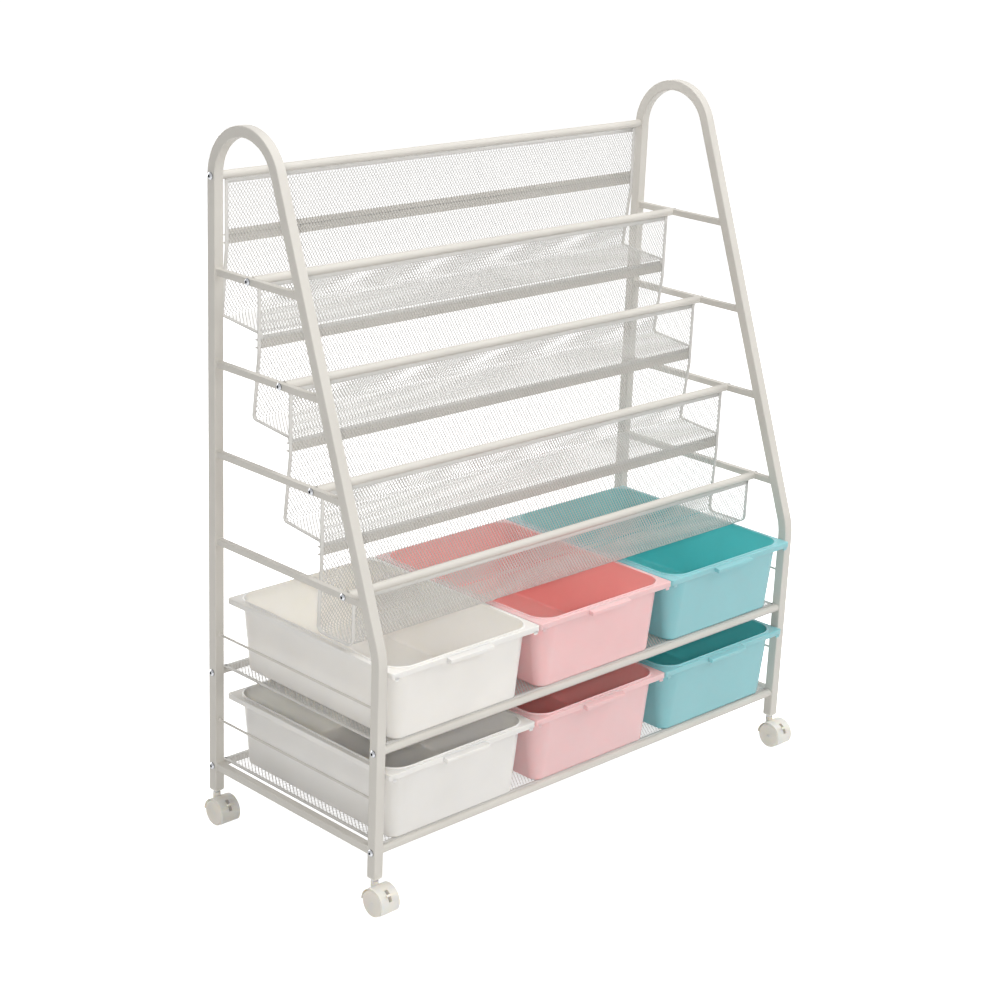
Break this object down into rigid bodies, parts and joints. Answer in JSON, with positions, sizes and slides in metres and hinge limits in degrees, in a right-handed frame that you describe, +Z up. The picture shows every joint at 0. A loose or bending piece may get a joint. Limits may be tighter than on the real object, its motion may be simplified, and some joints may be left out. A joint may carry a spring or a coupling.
{
  "type": "children's mobile bookshelf with storage bins",
  "caption": "Children's bookshelf on swivel casters: arched tube side frames, stepped metal mesh book pockets above mesh shelves with pull-out plastic storage bins.",
  "frame": {"origin": "on the floor, under the middle of the overall box", "axes": "+X to the right seen from the front, +Y to the rear, +Z up"},
  "size_m": [1.022, 0.4607, 1.1972],
  "materials": {
    "frame_paint": "satin powder coat",
    "mesh_paint": "satin powder coat",
    "screw_chrome": "bright plated",
    "bare_steel": "zinc plated",
    "bin_white": "moulded, semi-gloss",
    "bin_pink": "moulded, semi-gloss",
    "bin_teal": "moulded, semi-gloss",
    "plug_plastic": "moulded",
    "caster_plastic": "moulded, semi-gloss"
  },
  "bodies": {
    "frame": {"side_tube_left": "frame_paint", "bottom_bar_left": "frame_paint", "guard_wires_left": "frame_paint", "crossbar_left_1": "frame_paint", "crossbar_left_2": "frame_paint", "crossbar_left_3": "frame_paint", "crossbar_left_4": "frame_paint", "side_tube_right": "frame_paint", "bottom_bar_right": "frame_paint", "guard_wires_right": "frame_paint", "crossbar_right_1": "frame_paint", "crossbar_right_2": "frame_paint", "crossbar_right_3": "frame_paint", "crossbar_right_4": "frame_paint", "rail_top": "frame_paint", "rail_mid_rear": "frame_paint", "rail_mid_front": "frame_paint", "rail_bottom_rear": "frame_paint", "rail_bottom_front": "frame_paint", "rail_book_1": "frame_paint", "rail_book_2": "frame_paint", "rail_book_3": "frame_paint", "rail_book_4": "frame_paint", "rail_inserts": "bare_steel", "frame_screws": "screw_chrome", "pocket_sheet_1": "mesh_paint", "pocket_channel_1": "frame_paint", "pocket_sheet_2": "mesh_paint", "pocket_channel_2": "frame_paint", "pocket_sheet_3": "mesh_paint", "pocket_channel_3": "frame_paint", "pocket_sheet_4": "mesh_paint", "pocket_channel_4": "frame_paint", "shelf_mesh_lower": "mesh_paint", "shelf_mesh_upper": "mesh_paint", "leg_plugs": "plug_plastic", "caster_stems": "bare_steel"},
    "bin_lower_left": {"bin_lower_left": "bin_white"},
    "bin_lower_middle": {"bin_lower_middle": "bin_pink"},
    "bin_lower_right": {"bin_lower_right": "bin_teal"},
    "bin_upper_left": {"bin_upper_left": "bin_white"},
    "bin_upper_middle": {"bin_upper_middle": "bin_pink"},
    "bin_upper_right": {"bin_upper_right": "bin_teal"},
    "swivel_rear_left": {"caster_rear_left_hood": "caster_plastic", "caster_rear_left_axle": "bare_steel"},
    "wheels_rear_left": {"caster_rear_left_wheels": "caster_plastic"},
    "brake_rear_left": {"caster_rear_left_brake": "caster_plastic"},
    "swivel_front_left": {"caster_front_left_hood": "caster_plastic", "caster_front_left_axle": "bare_steel"},
    "wheels_front_left": {"caster_front_left_wheels": "caster_plastic"},
    "brake_front_left": {"caster_front_left_brake": "caster_plastic"},
    "swivel_rear_right": {"caster_rear_right_hood": "caster_plastic", "caster_rear_right_axle": "bare_steel"},
    "wheels_rear_right": {"caster_rear_right_wheels": "caster_plastic"},
    "brake_rear_right": {"caster_rear_right_brake": "caster_plastic"},
    "swivel_front_right": {"caster_front_right_hood": "caster_plastic", "caster_front_right_axle": "bare_steel"},
    "wheels_front_right": {"caster_front_right_wheels": "caster_plastic"},
    "brake_front_right": {"caster_front_right_brake": "caster_plastic"}
  },
  "joints": [
    {"name": "pull_lower_left", "type": "slide", "parent": "frame", "child": "bin_lower_left", "axis": [0, -1, 0], "range_m": [0, 0.38]},
    {"name": "pull_lower_middle", "type": "slide", "parent": "frame", "child": "bin_lower_middle", "axis": [0, -1, 0], "range_m": [0, 0.38]},
    {"name": "pull_lower_right", "type": "slide", "parent": "frame", "child": "bin_lower_right", "axis": [0, -1, 0], "range_m": [0, 0.38]},
    {"name": "pull_upper_left", "type": "slide", "parent": "frame", "child": "bin_upper_left", "axis": [0, -1, 0], "range_m": [0, 0.38]},
    {"name": "pull_upper_middle", "type": "slide", "parent": "frame", "child": "bin_upper_middle", "axis": [0, -1, 0], "range_m": [0, 0.38]},
    {"name": "pull_upper_right", "type": "slide", "parent": "frame", "child": "bin_upper_right", "axis": [0, -1, 0], "range_m": [0, 0.38]},
    {"name": "turn_rear_left", "type": "hinge", "parent": "frame", "child": "swivel_rear_left", "pos_m": [-0.492, 0.2174, 0.0525], "axis": [0, 0, 1], "continuous": true},
    {"name": "roll_rear_left", "type": "hinge", "parent": "swivel_rear_left", "child": "wheels_rear_left", "pos_m": [-0.492, 0.2024, 0.023], "axis": [1, 0, 0], "continuous": true},
    {"name": "press_rear_left", "type": "hinge", "parent": "swivel_rear_left", "child": "brake_rear_left", "pos_m": [-0.492, 0.19053, 0.03296], "axis": [1, 0, 0], "range_deg": [0, 15]},
    {"name": "turn_front_left", "type": "hinge", "parent": "frame", "child": "swivel_front_left", "pos_m": [-0.492, -0.1906, 0.0525], "axis": [0, 0, 1], "continuous": true},
    {"name": "roll_front_left", "type": "hinge", "parent": "swivel_front_left", "child": "wheels_front_left", "pos_m": [-0.492, -0.2056, 0.023], "axis": [1, 0, 0], "continuous": true},
    {"name": "press_front_left", "type": "hinge", "parent": "swivel_front_left", "child": "brake_front_left", "pos_m": [-0.492, -0.21747, 0.03296], "axis": [1, 0, 0], "range_deg": [0, 15]},
    {"name": "turn_rear_right", "type": "hinge", "parent": "frame", "child": "swivel_rear_right", "pos_m": [0.492, 0.2174, 0.0525], "axis": [0, 0, 1], "continuous": true},
    {"name": "roll_rear_right", "type": "hinge", "parent": "swivel_rear_right", "child": "wheels_rear_right", "pos_m": [0.492, 0.2024, 0.023], "axis": [1, 0, 0], "continuous": true},
    {"name": "press_rear_right", "type": "hinge", "parent": "swivel_rear_right", "child": "brake_rear_right", "pos_m": [0.492, 0.19053, 0.03296], "axis": [1, 0, 0], "range_deg": [0, 15]},
    {"name": "turn_front_right", "type": "hinge", "parent": "frame", "child": "swivel_front_right", "pos_m": [0.492, -0.1906, 0.0525], "axis": [0, 0, 1], "continuous": true},
    {"name": "roll_front_right", "type": "hinge", "parent": "swivel_front_right", "child": "wheels_front_right", "pos_m": [0.492, -0.2056, 0.023], "axis": [1, 0, 0], "continuous": true},
    {"name": "press_front_right", "type": "hinge", "parent": "swivel_front_right", "child": "brake_front_right", "pos_m": [0.492, -0.21747, 0.03296], "axis": [1, 0, 0], "range_deg": [0, 15]}
  ]
}
